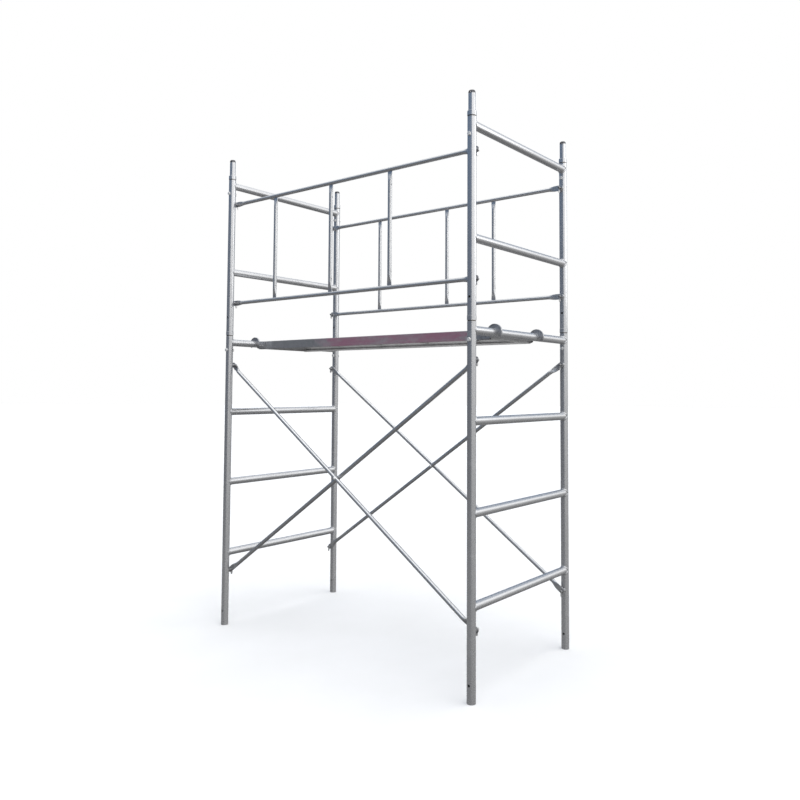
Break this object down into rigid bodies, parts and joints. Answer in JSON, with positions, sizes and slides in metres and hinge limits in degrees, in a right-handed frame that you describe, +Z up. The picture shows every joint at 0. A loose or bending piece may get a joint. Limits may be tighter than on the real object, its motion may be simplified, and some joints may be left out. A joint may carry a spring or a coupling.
{
  "type": "ladder frame scaffold tower",
  "caption": "Two-tier galvanised ladder-frame scaffold with cross braces, guard rails and a hook-on plank, stacked on coupling pins.",
  "frame": {"origin": "on the floor, at the centre of the four posts", "axes": "+Z up, X along the bay and the plank, Y along the rungs, -Y the front"},
  "size_m": [1.887, 1.0088, 2.876],
  "materials": {
    "galvanised_tube": "hot-dip galvanised, dull silver-grey, faintly mottled",
    "galvanised_brace_tube": "galvanised thin tube, slightly darker",
    "coupling_steel": "galvanised turned steel",
    "fastener_steel": "bright zinc-plated",
    "stud_steel": "galvanised, dull",
    "latch_steel": "zinc-plated flat steel",
    "plank_side_steel": "galvanised sheet with a faded dusty red-mauve cast",
    "plank_deck_steel": "galvanised sheet, dusty grey",
    "hook_steel": "pressed galvanised steel"
  },
  "bodies": {
    "lower_tier": {"brace_latch_pivots": "fastener_steel", "brace_rivets": "fastener_steel", "brace_studs": "stud_steel", "coupling_pins_joint": "coupling_steel", "front_brace_inner": "galvanised_brace_tube", "front_brace_outer": "galvanised_brace_tube", "lower_post_front_left": "galvanised_tube", "lower_post_front_right": "galvanised_tube", "lower_post_rear_left": "galvanised_tube", "lower_post_rear_right": "galvanised_tube", "lower_rungs_left": "galvanised_tube", "lower_rungs_right": "galvanised_tube", "pin_bolts_joint": "fastener_steel", "pin_nuts_joint": "fastener_steel", "rear_brace_inner": "galvanised_brace_tube", "rear_brace_outer": "galvanised_brace_tube"},
    "upper_tier": {"coupling_pins_top": "coupling_steel", "front_rail_bottom": "galvanised_brace_tube", "front_rail_top": "galvanised_brace_tube", "front_rail_uprights": "galvanised_brace_tube", "pin_bolts_top": "fastener_steel", "pin_nuts_top": "fastener_steel", "rail_latch_pivots": "fastener_steel", "rail_studs": "stud_steel", "rear_rail_bottom": "galvanised_brace_tube", "rear_rail_top": "galvanised_brace_tube", "rear_rail_uprights": "galvanised_brace_tube", "upper_post_front_left": "galvanised_tube", "upper_post_front_right": "galvanised_tube", "upper_post_rear_left": "galvanised_tube", "upper_post_rear_right": "galvanised_tube", "upper_rungs_left": "galvanised_tube", "upper_rungs_right": "galvanised_tube"},
    "plank": {"plank_channel_front": "plank_side_steel", "plank_channel_rear": "plank_deck_steel", "plank_deck": "plank_deck_steel", "plank_end_channel_left": "plank_deck_steel", "plank_end_channel_right": "plank_deck_steel", "plank_hook_rivets": "hook_steel", "plank_hooks_left": "hook_steel", "plank_hooks_right": "hook_steel", "plank_stiffeners": "plank_deck_steel"},
    "brace_latch_front_left_bottom": {"brace_latch_front_left_bottom": "latch_steel"},
    "brace_latch_front_left_top": {"brace_latch_front_left_top": "latch_steel"},
    "brace_latch_front_right_bottom": {"brace_latch_front_right_bottom": "latch_steel"},
    "brace_latch_front_right_top": {"brace_latch_front_right_top": "latch_steel"},
    "brace_latch_rear_left_bottom": {"brace_latch_rear_left_bottom": "latch_steel"},
    "brace_latch_rear_left_top": {"brace_latch_rear_left_top": "latch_steel"},
    "brace_latch_rear_right_bottom": {"brace_latch_rear_right_bottom": "latch_steel"},
    "brace_latch_rear_right_top": {"brace_latch_rear_right_top": "latch_steel"},
    "rail_latch_front_left_bottom": {"rail_latch_front_left_bottom": "latch_steel"},
    "rail_latch_front_left_top": {"rail_latch_front_left_top": "latch_steel"},
    "rail_latch_front_right_bottom": {"rail_latch_front_right_bottom": "latch_steel"},
    "rail_latch_front_right_top": {"rail_latch_front_right_top": "latch_steel"},
    "rail_latch_rear_left_bottom": {"rail_latch_rear_left_bottom": "latch_steel"},
    "rail_latch_rear_left_top": {"rail_latch_rear_left_top": "latch_steel"},
    "rail_latch_rear_right_bottom": {"rail_latch_rear_right_bottom": "latch_steel"},
    "rail_latch_rear_right_top": {"rail_latch_rear_right_top": "latch_steel"}
  },
  "joints": [
    {"name": "upper_tier_lift", "type": "slide", "parent": "lower_tier", "child": "upper_tier", "axis": [0, 0, 1], "range_m": [0, 0.12]},
    {"name": "plank_lift", "type": "slide", "parent": "lower_tier", "child": "plank", "axis": [0, 0, 1], "range_m": [0, 0.15]},
    {"name": "brace_latch_front_left_bottom_swing", "type": "hinge", "parent": "lower_tier", "child": "brace_latch_front_left_bottom", "pos_m": [-0.9, -0.428, 0.324], "axis": [1, 0, 0], "range_deg": [0, 90]},
    {"name": "brace_latch_front_left_top_swing", "type": "hinge", "parent": "lower_tier", "child": "brace_latch_front_left_top", "pos_m": [-0.9, -0.428, 1.584], "axis": [1, 0, 0], "range_deg": [0, 90]},
    {"name": "brace_latch_front_right_bottom_swing", "type": "hinge", "parent": "lower_tier", "child": "brace_latch_front_right_bottom", "pos_m": [0.9, -0.428, 0.324], "axis": [1, 0, 0], "range_deg": [0, 90]},
    {"name": "brace_latch_front_right_top_swing", "type": "hinge", "parent": "lower_tier", "child": "brace_latch_front_right_top", "pos_m": [0.9, -0.428, 1.584], "axis": [1, 0, 0], "range_deg": [0, 90]},
    {"name": "brace_latch_rear_left_bottom_swing", "type": "hinge", "parent": "lower_tier", "child": "brace_latch_rear_left_bottom", "pos_m": [-0.9, 0.428, 0.324], "axis": [-1, 0, 0], "range_deg": [0, 90]},
    {"name": "brace_latch_rear_left_top_swing", "type": "hinge", "parent": "lower_tier", "child": "brace_latch_rear_left_top", "pos_m": [-0.9, 0.428, 1.584], "axis": [-1, 0, 0], "range_deg": [0, 90]},
    {"name": "brace_latch_rear_right_bottom_swing", "type": "hinge", "parent": "lower_tier", "child": "brace_latch_rear_right_bottom", "pos_m": [0.9, 0.428, 0.324], "axis": [-1, 0, 0], "range_deg": [0, 90]},
    {"name": "brace_latch_rear_right_top_swing", "type": "hinge", "parent": "lower_tier", "child": "brace_latch_rear_right_top", "pos_m": [0.9, 0.428, 1.584], "axis": [-1, 0, 0], "range_deg": [0, 90]},
    {"name": "rail_latch_front_left_bottom_swing", "type": "hinge", "parent": "upper_tier", "child": "rail_latch_front_left_bottom", "pos_m": [-0.9, -0.428, 1.973], "axis": [1, 0, 0], "range_deg": [0, 90]},
    {"name": "rail_latch_front_left_top_swing", "type": "hinge", "parent": "upper_tier", "child": "rail_latch_front_left_top", "pos_m": [-0.9, -0.428, 2.599], "axis": [1, 0, 0], "range_deg": [0, 90]},
    {"name": "rail_latch_front_right_bottom_swing", "type": "hinge", "parent": "upper_tier", "child": "rail_latch_front_right_bottom", "pos_m": [0.9, -0.428, 1.973], "axis": [1, 0, 0], "range_deg": [0, 90]},
    {"name": "rail_latch_front_right_top_swing", "type": "hinge", "parent": "upper_tier", "child": "rail_latch_front_right_top", "pos_m": [0.9, -0.428, 2.599], "axis": [1, 0, 0], "range_deg": [0, 90]},
    {"name": "rail_latch_rear_left_bottom_swing", "type": "hinge", "parent": "upper_tier", "child": "rail_latch_rear_left_bottom", "pos_m": [-0.9, 0.428, 1.973], "axis": [-1, 0, 0], "range_deg": [0, 90]},
    {"name": "rail_latch_rear_left_top_swing", "type": "hinge", "parent": "upper_tier", "child": "rail_latch_rear_left_top", "pos_m": [-0.9, 0.428, 2.599], "axis": [-1, 0, 0], "range_deg": [0, 90]},
    {"name": "rail_latch_rear_right_bottom_swing", "type": "hinge", "parent": "upper_tier", "child": "rail_latch_rear_right_bottom", "pos_m": [0.9, 0.428, 1.973], "axis": [-1, 0, 0], "range_deg": [0, 90]},
    {"name": "rail_latch_rear_right_top_swing", "type": "hinge", "parent": "upper_tier", "child": "rail_latch_rear_right_top", "pos_m": [0.9, 0.428, 2.599], "axis": [-1, 0, 0], "range_deg": [0, 90]}
  ]
}
